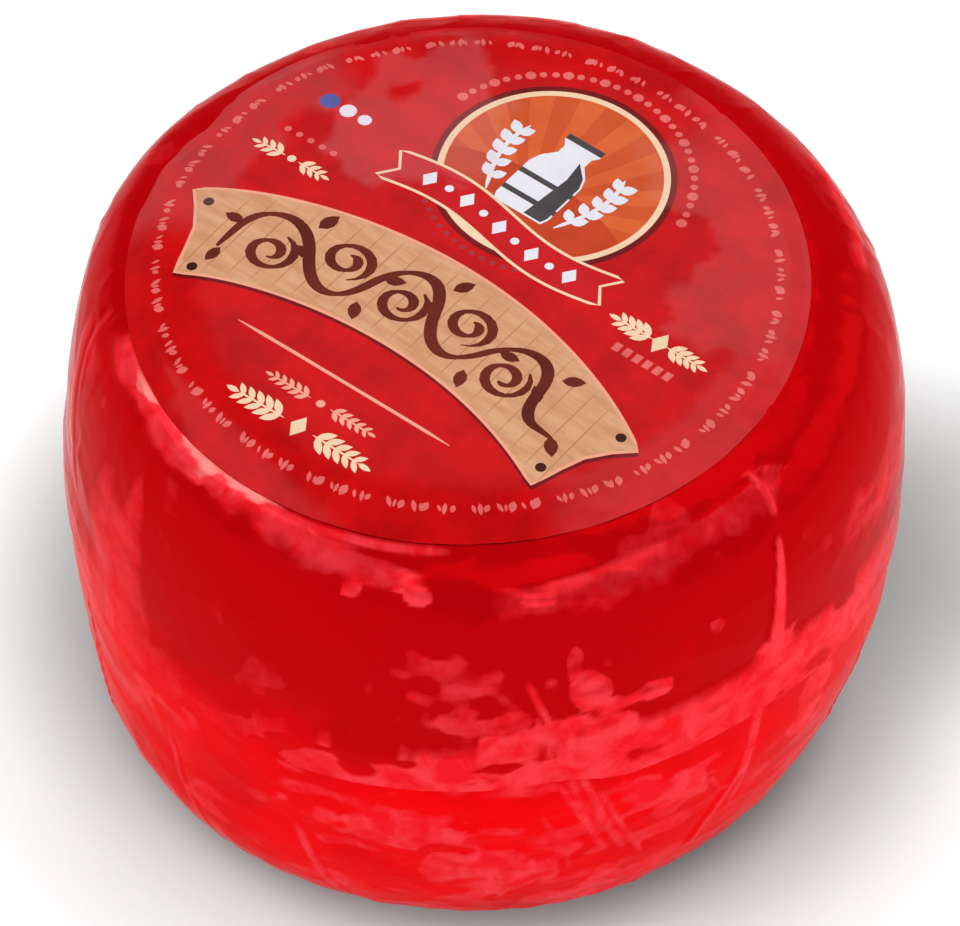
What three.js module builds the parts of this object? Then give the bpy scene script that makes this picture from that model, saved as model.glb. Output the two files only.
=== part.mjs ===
// A small red ball of Edam in its tight film: the cheese, a lower and an upper film that overlap
// in a band round the middle, and a round label stuck on the crown.
// Millimetres, +Z up. The origin is the centre of the flat spot that the ball rests on.

import * as THREE from "three";

// Driving dimensions: the outside of the wrapped ball.
const ballRadius = 37.8; // at the widest level
const ballHeight = 55.7; // flat spot to crown, without the label
const widestHeight = 29.7; // the widest level, a little above the middle
const flatDepth = 0.6; // how far the rounded base is pressed flat
const sideFullness = 9; // how square the shoulders are: 2 is a plain ellipse
const crownFullness = 2.7;
const baseFullness = 1.95;

// The film and its overlap.
const filmThickness = 0.3;
const filmGap = 0.3; // between any two skins
const bandFoot = 28.5; // mean height of the upper film's rim
const bandTop = 33;
const bandStep = 0.8; // height over which the upper film steps out round the lower one
const bandWave = 2.3; // rise and fall of the band, twice round the ball
const bandCrest = THREE.MathUtils.degToRad(-41); // direction of one crest

// The label.
const labelRadius = 30.4;
const labelThickness = 0.25;
const labelShift = new THREE.Vector2(-1.7, -1.05); // it is stuck on a little off centre

// Facets.
const turns = 48; // round the ball
const arcs = 15; // from the widest level to the crown, and to the base
const labelRings = [0, 8, 16, 22, 26, 28.5, labelRadius];

const crownRise = ballHeight - widestHeight;
const baseDrop = widestHeight + flatDepth;

// How far out from the axis the ball reaches at a height.
function wallRadius(height) {
  const above = height >= widestHeight;
  const share = Math.abs(height - widestHeight) / (above ? crownRise : baseDrop);
  const fullness = above ? crownFullness : baseFullness;
  return ballRadius * (1 - share ** fullness) ** (1 / sideFullness);
}

// The height of the crown's surface at a distance from the axis.
function crownHeight(radius) {
  return widestHeight + crownRise * (1 - (radius / ballRadius) ** sideFullness) ** (1 / crownFullness);
}

// A point of the ball's outline, in a direction up or down from the middle of its widest level,
// moved in or out along the outline's normal, and no lower than a floor.
function outlinePoint(direction, offset, floor) {
  const above = direction >= 0;
  const rise = above ? crownRise : -baseDrop;
  const fullness = above ? crownFullness : baseFullness;
  const across = Math.max(Math.cos(direction), 0);
  const up = Math.sin(direction);
  let near = 0;
  let far = 2 * ballRadius;
  while (far - near > 1e-7) {
    const reach = (near + far) / 2;
    const filled = ((reach * across) / ballRadius) ** sideFullness + ((reach * up) / rise) ** fullness;
    if (filled < 1) near = reach;
    else far = reach;
  }
  const radius = near * across;
  const height = near * up;
  const normal = new THREE.Vector2(
    (sideFullness / ballRadius) * (radius / ballRadius) ** (sideFullness - 1),
    (fullness / rise) * (height / rise) ** (fullness - 1),
  ).normalize();
  const x = across < 1e-6 ? 0 : radius + offset * normal.x;
  return new THREE.Vector2(x, Math.max(widestHeight + height + offset * normal.y, floor));
}

// The outline's points between two directions, both counted in arcs from the widest level.
function outline(first, last, offset, floor = 0) {
  const points = [];
  const step = Math.sign(last - first);
  for (let n = first; n !== last + step; n += step) {
    points.push(outlinePoint((n / arcs) * (Math.PI / 2), offset, floor));
  }
  return points;
}

function wallPoint(height, offset) {
  return new THREE.Vector2(wallRadius(height) + offset, height);
}

// Turns a profile round the ball's axis, and lets the turned body follow the wave of the band.
function turned(profile) {
  const geometry = new THREE.LatheGeometry(profile, turns).rotateX(Math.PI / 2);
  const place = geometry.getAttribute("position");
  for (let n = 0; n < place.count; n += 1) {
    const round = Math.atan2(place.getY(n), place.getX(n)) - bandCrest;
    const share = Math.sin((Math.PI * place.getZ(n)) / ballHeight) ** 2;
    place.setZ(n, place.getZ(n) + bandWave * share * Math.cos(2 * round));
  }
  return geometry;
}

function part(name, geometry, material) {
  const mesh = new THREE.Mesh(geometry, material);
  mesh.name = name;
  return mesh;
}

// The cheese with its red wax coat, flat where it rests in the film.
function cheese() {
  const skin = filmThickness + filmGap;
  const material = new THREE.MeshStandardMaterial({ color: 0xb00a10, roughness: 0.45, metalness: 0 });
  return part("cheese", turned(outline(-arcs, arcs, -skin, skin)), material);
}

// The lower film: a cup up to just under the top of the band.
function filmLower() {
  const rim = bandTop - bandStep;
  const profile = [
    ...outline(-arcs, 0, 0),
    wallPoint(rim, 0),
    wallPoint(rim, -filmThickness),
    ...outline(0, -arcs, -filmThickness, filmThickness),
  ];
  const material = new THREE.MeshStandardMaterial({ color: 0xd00d12, roughness: 0.15, metalness: 0 });
  return part("film_lower", turned(profile), material);
}

// The upper film: a cap whose rim steps out and lies over the lower film.
function filmUpper() {
  const inside = filmGap;
  const outside = inside + filmThickness;
  const firstArc = 3;
  const profile = [
    wallPoint(bandFoot, inside),
    wallPoint(bandFoot, outside),
    wallPoint(bandTop, outside),
    wallPoint(bandTop + bandStep, 0),
    ...outline(firstArc, arcs, 0),
    ...outline(arcs, firstArc, -filmThickness),
    wallPoint(bandTop + bandStep, -filmThickness),
    wallPoint(bandTop, inside),
    wallPoint(bandFoot, inside),
  ];
  const material = new THREE.MeshStandardMaterial({ color: 0xc40b10, roughness: 0.15, metalness: 0 });
  return part("film_upper", turned(profile), material);
}

// The label: a thin disc that lies on the crown and bends down over the shoulder at its edge.
function label() {
  const under = labelRings.map((radius) => new THREE.Vector2(radius, 0));
  const over = labelRings.map((radius) => new THREE.Vector2(radius, labelThickness)).reverse();
  const geometry = new THREE.LatheGeometry([...under, ...over], turns).rotateX(Math.PI / 2);
  geometry.translate(labelShift.x, labelShift.y, 0);
  const place = geometry.getAttribute("position");
  for (let n = 0; n < place.count; n += 1) {
    const crown = crownHeight(Math.hypot(place.getX(n), place.getY(n)));
    place.setZ(n, place.getZ(n) + crown + filmGap);
  }
  const material = new THREE.MeshStandardMaterial({ color: 0xc8101a, roughness: 0.3, metalness: 0 });
  return part("label", geometry, material);
}

const ball = new THREE.Group();
ball.add(cheese(), filmLower(), filmUpper(), label());

export default ball;
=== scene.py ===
"""A small ball of Edam in its tight red film, with a round printed label on the crown.

Metres, +Z up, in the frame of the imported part. The origin is the centre of the flat spot it rests on.
"""

import math

import bpy
import numpy as np
from mathutils import Matrix, Vector
from mathutils.geometry import delaunay_2d_cdt


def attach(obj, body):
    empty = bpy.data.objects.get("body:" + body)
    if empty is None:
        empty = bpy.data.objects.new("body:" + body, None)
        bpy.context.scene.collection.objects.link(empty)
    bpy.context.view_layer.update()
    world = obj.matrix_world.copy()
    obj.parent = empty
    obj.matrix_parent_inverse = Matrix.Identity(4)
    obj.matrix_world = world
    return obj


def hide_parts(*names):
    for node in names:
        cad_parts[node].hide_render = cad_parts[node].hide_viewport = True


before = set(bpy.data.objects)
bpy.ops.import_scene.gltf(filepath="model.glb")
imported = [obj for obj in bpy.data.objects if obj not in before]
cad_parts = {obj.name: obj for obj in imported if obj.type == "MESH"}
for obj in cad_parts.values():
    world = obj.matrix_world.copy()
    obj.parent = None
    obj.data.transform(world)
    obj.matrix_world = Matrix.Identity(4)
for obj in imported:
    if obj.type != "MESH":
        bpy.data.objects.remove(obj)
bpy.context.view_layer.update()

MM = 0.001

# ---------------------------------------------------------------------------------------------
# The cheese: one pressed and waxed ball, squat, with full shoulders and a rounder base.
# Edam in a coat of red paraffin wax, dipped, so the coat is smooth and a little soft in its gloss.
# It lies in the film and is pressed flat where it rests.
# ---------------------------------------------------------------------------------------------

# Outside of the wrapped ball, in millimetres, as all shapes here are until they are built.
BALL_RADIUS = 37.8
BALL_HEIGHT = 55.7
WIDEST = 29.7  # height of the widest level
FLAT_DEPTH = 0.6  # how far the rounded base is pressed flat
CROWN_RISE = BALL_HEIGHT - WIDEST
BASE_DROP = WIDEST + FLAT_DEPTH
SIDE_FULLNESS = 9  # how square the shoulders are: 2 is a plain ellipse
CROWN_FULLNESS = 2.7
BASE_FULLNESS = 1.95
WAX_DEPTH = 0.6  # how far the wax lies under the outside of the film
WAX_MOTTLE = 9


def outline(direction, offset=0.0):
    """Radius and height of the ball's outline in a direction up from the middle of its widest level."""
    direction = np.asarray(direction, dtype=float)
    rise = np.where(direction >= 0, CROWN_RISE, BASE_DROP)
    fullness = np.where(direction >= 0, CROWN_FULLNESS, BASE_FULLNESS)
    across = np.maximum(np.cos(direction), 0)
    up = np.abs(np.sin(direction))
    near = np.zeros_like(direction)
    far = np.full_like(direction, 2 * BALL_RADIUS)
    for _ in range(40):
        reach = (near + far) / 2
        filled = (reach * across / BALL_RADIUS) ** SIDE_FULLNESS + (reach * up / rise) ** fullness < 1
        near = np.where(filled, reach, near)
        far = np.where(filled, far, reach)
    radius = near * across
    height = near * up * np.sign(direction)
    out, lift = outline_normal(radius, height)
    return radius + offset * out * (across > 1e-6), WIDEST + height + offset * lift


def outline_normal(radius, height):
    """The outline's outward normal at a radius and a height above its widest level."""
    rise = np.where(height >= 0, CROWN_RISE, BASE_DROP)
    fullness = np.where(height >= 0, CROWN_FULLNESS, BASE_FULLNESS)
    out = SIDE_FULLNESS / BALL_RADIUS * (radius / BALL_RADIUS) ** (SIDE_FULLNESS - 1)
    lift = fullness / rise * (np.abs(height) / rise) ** (fullness - 1) * np.sign(height)
    size = np.hypot(out, lift)
    return out / size, lift / size


def linear(hex_colour):
    """An sRGB hex colour as the linear RGBA that shader sockets take."""
    srgb = [int(hex_colour[n:n + 2], 16) / 255 for n in (1, 3, 5)]
    return (*[c / 12.92 if c <= 0.04045 else ((c + 0.055) / 1.055) ** 2.4 for c in srgb], 1.0)


def new_material(name):
    """A new material, its node tree and its Principled shader."""
    material = bpy.data.materials.new(name)
    material.use_nodes = True
    tree = material.node_tree
    return material, tree, tree.nodes["Principled BSDF"]


def node(tree, kind, settings=None, links=None, values=None):
    """Adds a node, sets its properties and input values, and links inputs from output sockets."""
    made = tree.nodes.new(kind)
    for name, value in (settings or {}).items():
        setattr(made, name, value)
    for name, value in (values or {}).items():
        made.inputs[name].default_value = value
    for name, socket in (links or {}).items():
        tree.links.new(socket, made.inputs[name])
    return made


def places_of(piece):
    """A piece's vertex places as an array, in millimetres."""
    flat = np.empty(len(piece.data.vertices) * 3)
    piece.data.vertices.foreach_get("co", flat)
    return flat.reshape(-1, 3) / MM


def put_places(piece, places):
    """Puts a piece's vertices at places in millimetres."""
    piece.data.vertices.foreach_set("co", (places * MM).ravel())
    piece.data.update()


bpy.ops.object.select_all(action="DESELECT")
bpy.ops.mesh.primitive_uv_sphere_add(segments=96, ring_count=64, radius=BALL_RADIUS * MM)
cheese = bpy.context.object
cheese.name = "cheese_in_wax"
places = places_of(cheese)
around = np.arctan2(places[:, 1], places[:, 0])
from_axis = np.hypot(places[:, 0], places[:, 1])
radius, height = outline(np.arctan2(places[:, 2], from_axis), -WAX_DEPTH)
put_places(cheese, np.column_stack([radius * np.cos(around), radius * np.sin(around),
                                    np.maximum(height, WAX_DEPTH)]))
bpy.ops.object.shade_smooth()

# Red paraffin wax, dipped: even, deep red, with a soft gloss and a slight mottle.
wax, tree, shader = new_material("red_paraffin_wax_dipped")
shader.inputs["Roughness"].default_value = 0.42
shader.inputs["IOR"].default_value = 1.44
spot = node(tree, "ShaderNodeTexCoord")
mottle = node(tree, "ShaderNodeTexNoise", links={"Vector": spot.outputs["Object"]},
              values={"Scale": 1 / (WAX_MOTTLE * MM), "Detail": 3.0})
tone = node(tree, "ShaderNodeValToRGB", links={"Fac": mottle.outputs["Fac"]})
tone.color_ramp.elements[0].color = linear("#A8080E")
tone.color_ramp.elements[1].color = linear("#BC0E14")
tree.links.new(tone.outputs["Color"], shader.inputs["Base Color"])
cheese.data.materials.append(wax)
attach(cheese, "root")
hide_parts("cheese")

# ---------------------------------------------------------------------------------------------
# The lower film: a cup of red shrink film up to the middle of the ball.
# Cast polyethylene and polyamide film, shrunk on with heat, so it is tight and glossy, with creases
# where it gathered and patches where it stands off the wax, painted lighter in a tone that also paints
# the film's reflections. Its rim lies under the upper film.
# ---------------------------------------------------------------------------------------------

FILM = 0.25  # drawn thicker than the real 0.05 mm film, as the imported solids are
FILM_STEP = 0.36  # between vertices up the outside, fine enough for a crease
INSIDE_STEP = 2.4
TURNS = 640  # vertices round the outside
INSIDE_TURNS = 128
# The two sizes below shape the lighter tone where the film stands off, a tone that also paints its
# reflections.
STANDOFF_SHEEN_RAGS = 2.2  # size of the torn edges of the air under the film
STANDOFF_SHEEN_STREAKS = 3  # and of the streaks in it
CLING_CLOUDS = 9  # size of the darker clouds where the film clings
CRINKLES = 3.4
FRONT = math.radians(-92)  # the creased side, where the mesh is finest
LOWER_RIM = 32.0
BAND_WAVE = 2.3  # the band rises and falls twice round the ball
BAND_CREST = math.radians(-41)
# The ball is not quite round. Each swelling has its rise, its middle and half width in degrees
# round, and the heights where it starts, is full, is still full and ends.
SWELLINGS = (
    (0.45, -12, 48, 10, 20, 46, 54),
    (0.9, -138, 30, 0, 4, 8, 20),
    (-0.25, -48, 24, 0, 4, 6, 12),
    (0.45, 158, 26, 41, 49, 52, 54.4),
)

MERIDIAN = np.radians(np.linspace(-90, 90, 7201))
MERIDIAN_R, MERIDIAN_Z = outline(MERIDIAN)
MERIDIAN_LENGTH = np.concatenate([[0], np.cumsum(np.hypot(np.diff(MERIDIAN_R), np.diff(MERIDIAN_Z)))])


def along_outline(first, last, spacing, offset=0.0):
    """Points of the outline between two lengths from the base's middle, at an even spacing."""
    count = max(2, int(round(abs(last - first) / spacing)) + 1)
    lengths = np.linspace(first, last, count)
    radius, height = outline(np.interp(lengths, MERIDIAN_LENGTH, MERIDIAN), offset)
    return list(zip(radius, height))


def length_at_height(height):
    return float(np.interp(height, MERIDIAN_Z, MERIDIAN_LENGTH))


def length_at_crown_radius(radius):
    crown = MERIDIAN > math.radians(40)  # past the walls, where the radius only falls
    return float(np.interp(-radius, -MERIDIAN_R[crown], MERIDIAN_LENGTH[crown]))


def spun_skin(name, profile, turns):
    """A skin turned from a profile: one vertex extruded along it, then screwed once round the axis."""
    radius, height = profile[0]
    bpy.ops.object.select_all(action="DESELECT")
    bpy.ops.mesh.primitive_plane_add(size=MM)
    skin = bpy.context.object
    skin.name = name
    bpy.ops.object.mode_set(mode="EDIT")
    bpy.ops.mesh.merge(type="CENTER")
    bpy.ops.transform.translate(value=(radius * MM, 0, height * MM))
    for next_radius, next_height in profile[1:]:
        step = ((next_radius - radius) * MM, 0, (next_height - height) * MM)
        bpy.ops.mesh.extrude_region_move(TRANSFORM_OT_translate={"value": step})
        radius, height = next_radius, next_height
    bpy.ops.object.mode_set(mode="OBJECT")
    bpy.ops.object.transform_apply(location=True)
    turn = skin.modifiers.new("turned", "SCREW")
    turn.axis = "Z"
    turn.steps = turns
    turn.render_steps = turns
    turn.use_merge_vertices = True
    turn.merge_threshold = 0.004 * MM
    bpy.ops.object.modifier_apply(modifier=turn.name)
    return skin


def film_grid(skin):
    """Each vertex's radius, height, direction, length along the outline, and the outline's normal."""
    places = places_of(skin)
    around = np.arctan2(places[:, 1], places[:, 0])
    radius = np.hypot(places[:, 0], places[:, 1])
    upward = np.arctan2(places[:, 2] - WIDEST, radius)
    length = np.interp(upward, MERIDIAN, MERIDIAN_LENGTH)
    near_radius, near_height = outline(upward)
    out, lift = outline_normal(near_radius, near_height - WIDEST)
    return radius, places[:, 2], around, length, out, lift


def finer_in_front(around, share=0.28):
    """Turns vertices a little towards the front, which makes the mesh finer there than at the back."""
    return around - share * np.sin(around - FRONT)


def band_height(height, around):
    """The band's slow rise and fall, which the film's own heights follow."""
    share = np.sin(np.pi * np.clip(height, 0, BALL_HEIGHT) / BALL_HEIGHT) ** 2
    return height + BAND_WAVE * share * np.cos(2 * (around - BAND_CREST))


def ripple(places, size, seed, stretch=(1, 1, 1)):
    """Smooth noise over places in millimetres, with bumps of about a given size, from -1 to 1."""
    spread = places * np.array(stretch) / size + seed * np.array([17.31, 7.13, 3.77])
    cell = np.floor(spread).astype(np.int64)
    part = spread - cell
    fade = part ** 3 * (part * (part * 6 - 15) + 10)
    total = np.zeros(len(spread))
    for corner in np.ndindex(2, 2, 2):
        knot = (cell + corner) * np.array([73856093, 19349663, 83492791])
        mixed = (knot[:, 0] ^ knot[:, 1] ^ knot[:, 2] ^ (seed * 2654435761)) & 0xFFFFFFFF
        mixed = (mixed ^ (mixed >> 13)) * 1274126177 & 0xFFFFFFFF
        mixed ^= mixed >> 16
        lean = np.column_stack([mixed & 1023, (mixed >> 10) & 1023, (mixed >> 20) & 1023]) / 511.5 - 1
        weight = np.prod(np.where(corner, fade, 1 - fade), axis=1)
        total += weight * np.sum(lean * (part - corner), axis=1)
    return total * 1.7


def smooth(value, low, high):
    """Rises softly from 0 to 1 between two values."""
    share = np.clip((value - low) / (high - low), 0, 1)
    return share * share * (3 - 2 * share)


def span(value, start, full_from, full_to, end):
    """Rises softly to 1, stays there, and falls softly back to 0."""
    return smooth(value, start, full_from) * smooth(-value, -end, -full_to)


def bump(value, middle, half_width):
    """A bell curve, 1 at its middle."""
    return np.exp(-((value - middle) / half_width) ** 2)


def arc_from(start, around):
    """Signed length round the wall from one direction to others."""
    return (np.mod(around - start + np.pi, 2 * np.pi) - np.pi) * BALL_RADIUS


def beside(line, around, length):
    """Signed distance from a line of (degrees round, height) points laid on the ball, and the share
    of the way along it."""
    start = math.radians(line[0][0])
    across = arc_from(start, around)
    knots = [(math.remainder(math.radians(a) - start, 2 * math.pi) * BALL_RADIUS, length_at_height(h))
             for a, h in line]
    sizes = [math.dist(a, b) for a, b in zip(knots, knots[1:])]
    best = np.full(len(around), 1e9)
    side = np.zeros(len(around))
    share = np.zeros(len(around))
    done = 0.0
    for (x0, y0), (x1, y1), size in zip(knots, knots[1:], sizes):
        ux, uy = (x1 - x0) / size, (y1 - y0) / size
        go = np.clip((across - x0) * ux + (length - y0) * uy, 0, size)
        dx, dy = across - x0 - go * ux, length - y0 - go * uy
        distance = np.hypot(dx, dy)
        closer = distance < best
        best = np.where(closer, distance, best)
        side = np.where(closer, np.sign(dx * uy - dy * ux), side)
        share = np.where(closer, (done + go) / sum(sizes), share)
        done += size
    return best * side, share


def fades(share, ends=0.18):
    """Full along the middle of a line, running out at both ends."""
    return smooth(share, 0, ends) * smooth(1 - share, 0, ends)


class Skin:
    """The relief of one film as it is shaped, and where it stands off the wax, vertex by vertex, which
    also marks where its reflections and highlights are painted.
    """

    def __init__(self, skin):
        self.radius, self.height, self.around, self.length, self.out, self.lift = film_grid(skin)
        self.around = finer_in_front(self.around)
        self.places = np.column_stack([self.radius * np.cos(self.around),
                                       self.radius * np.sin(self.around), self.height])
        self.relief = self.swell()
        self.standoff_and_sheen = np.zeros(len(self.around))

    def swell(self):
        """The film follows the ball where it is not quite round."""
        total = np.zeros(len(self.around))
        for rise, middle, half_width, start, full_from, full_to, end in SWELLINGS:
            total += (rise * bump(np.degrees(self.around), middle, half_width)
                      * span(self.height, start, full_from, full_to, end))
        return total

    def mark_standoff_and_sheen(self, amount):
        """Marks where the film stands off the wax, painted lighter as reflections: 0 clings, 1 stands off,
        and more is a pale painted highlight.
        """
        self.standoff_and_sheen = np.maximum(self.standoff_and_sheen, amount)

    def crease(self, line, width=0.28, rise=0.2, standoff_and_sheen=0.7):
        """A sharp ridge where the film is pinched, with a shallow groove on each side, painted lighter along
        the ridge as a reflection.
        """
        distance, share = beside(line, self.around, self.length)
        fade = fades(share)
        self.relief += rise * fade * (bump(distance, 0, width) - 0.35 * bump(distance, 0, 2.6 * width))
        self.mark_standoff_and_sheen(standoff_and_sheen * fade * bump(distance, 0, 1.25 * width))

    def pleat(self, line, width=0.65, rise=0.22, standoff_and_sheen=0.85, widening=0.0):
        """A flat fold of spare film laid over to one side: a slow rise, then a sharp edge, painted lighter
        along the fold as a reflection.
        """
        distance, share = beside(line, self.around, self.length)
        width = width * (1 + widening * (share - 0.5))
        fade = fades(share, 0.1)
        self.relief += rise * fade * span(distance, -width, 0.6 * width, width, 1.35 * width)
        self.mark_standoff_and_sheen(standoff_and_sheen * fade * smooth(-np.abs(distance), -1.35 * width, -0.5 * width))

    def patch(self, degrees, height, wide, high, ragged, size, seed, rise=0.1, standoff_and_sheen=0.85, soft=0.2,
              holes=0.3):
        """A ragged patch, wide in degrees and high in millimetres, where the film stands off the wax,
        painted lighter in a tone that also paints its reflections. Ragged and size shape its edge, soft is
        how slowly it ends, and holes is how far small islands where it clings again break it up."""
        across = arc_from(math.radians(degrees), self.around)
        up = self.length - length_at_height(height)
        reach = np.hypot(across / (math.radians(wide) * BALL_RADIUS), up / high)
        near = reach < 2.2
        edge = np.full(len(reach), -2.0)
        edge[near] = 1 - reach[near] + ragged * ripple(self.places[near], size, seed)
        broken = np.zeros(len(reach))
        broken[near] = (0.62 * ripple(self.places[near], 2.6, seed + 60, (1, 1, 1.6))
                        + 0.4 * ripple(self.places[near], 1.2, seed + 61, (1, 1, 1.4)))
        self.relief += rise * smooth(edge, -0.05, 0.5) + 0.35 * rise * smooth(edge, 0, 0.3) * broken
        shown = smooth(edge + holes * broken, -0.04, soft) * (0.62 + 0.38 * smooth(broken, -0.35, 0.15))
        self.mark_standoff_and_sheen(standoff_and_sheen * shown)

    def smear(self, line, above, below, seed, rise=0.12, standoff_and_sheen=0.9):
        """A strip along a line where the film bridges a hollow, painted lighter as a reflection: a firm
        upper edge, and a ragged lower edge that fades away down the side."""
        distance, share = beside(line, self.around, self.length)
        near = np.abs(distance) < 2.5 * max(above, below)
        ragged = np.zeros(len(distance))
        ragged[near] = (0.55 * ripple(self.places[near], 4.2, seed)
                        + 0.3 * ripple(self.places[near], 1.7, seed + 1))
        down = np.maximum(distance, 0) / below + 0.9 * ragged
        shown = fades(share, 0.12) * smooth(1 - down, -0.15, 0.75)
        shown *= smooth(distance + 0.3 * ragged, -above - 0.25, -above + 0.25)
        self.relief += rise * shown
        self.mark_standoff_and_sheen(standoff_and_sheen * shown * near * (0.75 + 0.25 * smooth(ragged, -0.2, 0.2)))

    def ripples(self, strength, size, seed, stretch=(1, 1, 1), share=1.0):
        """Soft waves."""
        self.relief += strength * share * ripple(self.places, size, seed, stretch)

    def ridges(self, strength, size, seed, stretch=(1, 1, 1), share=1.0):
        """Crinkles: thin sharp ridges between flat facets."""
        crest = np.clip(1 - 2.6 * np.abs(ripple(self.places, size, seed, stretch)), 0, 1) ** 2
        self.relief += strength * share * crest

    def press_on(self, skin, limit, drop=0.0):
        """Moves the skin's vertices by the relief, within a radius and above the floor, and stores
        where it stands off and where its reflections and highlights are painted."""
        radius = np.minimum(self.radius + self.relief * self.out, limit)
        height = self.height + self.relief * self.lift - drop
        height = np.maximum(band_height(height, self.around), 0)
        put_places(skin, np.column_stack([radius * np.cos(self.around), radius * np.sin(self.around),
                                          height]))
        mark = skin.data.attributes.new("standoff_and_sheen", "FLOAT", "POINT")
        mark.data.foreach_set("value", np.clip(self.standoff_and_sheen, 0, 2))


def waved(skin, lowest):
    """Lets the plain inner wall of a film follow the band's rise and fall."""
    places = places_of(skin)
    around = np.arctan2(places[:, 1], places[:, 0])
    places[:, 2] = np.maximum(band_height(places[:, 2], around), lowest)
    put_places(skin, places)


def closed_film(name, outer, inner):
    """Joins a film's outer skin and inner wall into one closed shell, bridged along the rim."""
    bpy.ops.object.select_all(action="DESELECT")
    inner.select_set(True)
    outer.select_set(True)
    bpy.context.view_layer.objects.active = outer
    bpy.ops.object.join()
    outer.name = name
    bpy.ops.object.mode_set(mode="EDIT")
    bpy.ops.mesh.select_mode(type="EDGE")
    bpy.ops.mesh.select_all(action="DESELECT")
    bpy.ops.mesh.select_non_manifold(extend=False, use_wire=False, use_boundary=True,
                                     use_multi_face=False, use_non_contiguous=False, use_verts=False)
    bpy.ops.mesh.bridge_edge_loops()
    bpy.ops.mesh.select_mode(type="VERT")
    bpy.ops.mesh.select_all(action="SELECT")
    bpy.ops.mesh.normals_make_consistent(inside=False)
    bpy.ops.object.mode_set(mode="OBJECT")
    bpy.ops.object.shade_smooth_by_angle(angle=math.radians(50))
    return outer


rim = length_at_height(LOWER_RIM)
flat_edge = float(np.interp(0.0, MERIDIAN_Z, MERIDIAN_LENGTH))
outer = spun_skin("film_lower", [(r, max(z, 0.0)) for r, z in
                                 along_outline(0, flat_edge - 0.5, 2.2)
                                 + along_outline(flat_edge, rim, FILM_STEP)], TURNS)
lower = Skin(outer)
creased = bump(np.degrees(lower.around), -84, 24) * smooth(lower.height, 1, 6)
mild = 0.35 + 0.3 * smooth(ripple(lower.places, 30, 4), -0.2, 0.5)
lower.ripples(0.16, 17, 1)
lower.ripples(0.07, 7.5, 2, stretch=(1, 1, 1.8))
lower.ridges(0.13, 7.0, 3, stretch=(1, 1, 1.5), share=np.maximum(creased, mild))
lower.ridges(0.06, 3.2, 5, stretch=(1, 1, 1.4), share=np.maximum(creased, 0.5 * mild))
# Gathers run down to the base, uneven in their spacing, and grow towards it.
gather = np.cos(58 * lower.around + 2.2 * np.sin(5 * lower.around) + 1.6 * np.cos(9 * lower.around))
lower.relief += 0.045 * smooth(-lower.height, -14, -3) * gather * smooth(lower.length, 6, 20)
# Random patches where the lower film stands off, painted lighter as reflections.
standoff_sheen_noise = (0.8 * ripple(lower.places, 9, 6, stretch=(1, 1, 2.4))
             + 0.6 * ripple(lower.places, 3.6, 7, stretch=(1, 1, 2.0)) + 0.25 * creased)
lower.standoff_and_sheen = 0.6 * smooth(standoff_sheen_noise, 0.15, 0.6)
# One crease at the left, the bundle in front, and the foot of the long pleat on the right.
lower.crease([(-115, 20), (-113.5, 15), (-111, 9.5), (-108, 4.6)], 0.34, 0.26, 1.0)
lower.crease([(-76, 29), (-74, 25.5), (-71, 19.5), (-67.5, 14)], 0.32, 0.24, 1.0)
lower.crease([(-79, 28.5), (-75.5, 23), (-72.5, 18), (-70, 14.5)], 0.26, 0.2, 0.95)
lower.crease([(-77.5, 29), (-76, 26), (-74.4, 22), (-73.6, 19)], 0.4, 0.14, 0.8)
lower.crease([(-75.5, 24.5), (-72, 20.5), (-69, 17.2), (-66.6, 15.4)], 0.24, 0.16, 0.9)
lower.crease([(-73, 26), (-69, 19), (-66, 14.8), (-64.5, 12)], 0.24, 0.18, 0.95)
lower.crease([(-81, 24), (-77, 18), (-75.5, 13)], 0.24, 0.2, 0.8)
lower.crease([(-92, 21), (-88, 18.6), (-84.5, 12.6), (-86, 8)], 0.3, 0.2, 0.8)
lower.crease([(-72, 12), (-69, 9.5), (-64, 8.6)], 0.24, 0.18, 0.8)
lower.pleat([(-47, 29), (-48, 26), (-49, 21.4), (-51, 17.6), (-55, 12.7), (-57, 9.5)], 0.6, 0.22, 0.9)
lower.crease([(-46, 30), (-48.5, 22.5), (-50, 16.5), (-51.5, 12.4)], 0.26, 0.2, 0.9)
lower.crease([(-56, 21), (-53.5, 18), (-50.5, 17)], 0.24, 0.16, 0.8)
# Single creases round the rest of the wall.
for degrees, high, low, lean in ((-160, 26, 9, 5), (-137, 22, 7, 7), (-20, 25, 8, -6), (12, 27, 10, 6),
                                 (38, 24, 6, -5), (66, 27, 12, 7), (97, 25, 5, -7), (124, 28, 10, 5),
                                 (151, 24, 8, -6)):
    lower.crease([(degrees, high), (degrees + 0.3 * lean, (high + low) / 2), (degrees + lean, low)],
                 0.28, 0.2, 0.8)
# Patches in front where the film stands off, painted lighter as reflections.
lower.patch(-62, 21, 7, 3.4, 0.7, 4, 11)
lower.patch(-36, 22, 6, 4.5, 0.6, 5, 12)
lower.patch(-88, 16, 9, 4.5, 0.9, 3.5, 13)
lower.patch(-104, 22, 9, 2.5, 0.8, 4, 14)
lower.patch(-70, 8, 9, 3.5, 0.8, 4, 15)
lower.press_on(outer, BALL_RADIUS - 0.02)
inner = spun_skin("film_lower_inside", [(r, max(z, FILM)) for r, z in
                                        along_outline(rim, flat_edge, INSIDE_STEP, -FILM)
                                        + along_outline(flat_edge - 2, 0, 8, -FILM)], INSIDE_TURNS)
waved(inner, FILM)
film_lower = closed_film("film_lower", outer, inner)

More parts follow.
